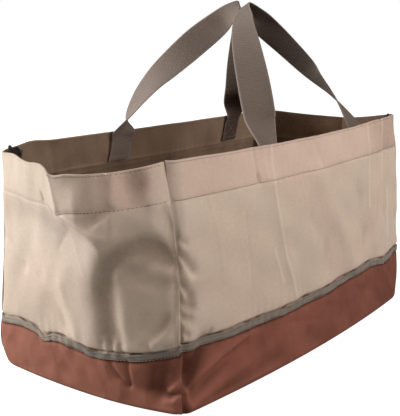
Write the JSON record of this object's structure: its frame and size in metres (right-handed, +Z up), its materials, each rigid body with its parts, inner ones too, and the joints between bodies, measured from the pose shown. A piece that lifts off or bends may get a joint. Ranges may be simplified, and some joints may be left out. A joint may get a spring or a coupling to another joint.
{
  "type": "log carrier",
  "caption": "Open rectangular cloth tote for carrying firewood, with a darker lower band, a tape over the join, a deep hem and webbing handles.",
  "frame": {"origin": "middle of the underside of the bounding box, on the surface that the bag stands on", "axes": "+X along the long side, +Y from the front panel to the back panel, +Z up"},
  "size_m": [0.6802, 0.3138, 0.4262],
  "materials": {
    "upper_cloth": "matt coated canvas, pebble taupe",
    "lower_cloth": "matt coated canvas, brick brown",
    "join_tape": "woven grosgrain tape, grey",
    "webbing": "woven cotton webbing, dark taupe",
    "binding": "folded seam binding, near black brown"
  },
  "bodies": {
    "root": {"front_panel": "upper_cloth", "front_band": "lower_cloth", "front_tape": "join_tape", "back_panel": "upper_cloth", "back_band": "lower_cloth", "back_tape": "join_tape", "left_end_panel": "upper_cloth", "left_end_band": "lower_cloth", "left_end_tape": "join_tape", "right_end_panel": "upper_cloth", "right_end_band": "lower_cloth", "right_end_tape": "join_tape", "base_panel": "lower_cloth", "front_handle": "webbing", "back_handle": "webbing", "front_left_binding": "binding", "front_right_binding": "binding", "back_right_binding": "binding", "back_left_binding": "binding"}
  },
  "joints": []
}
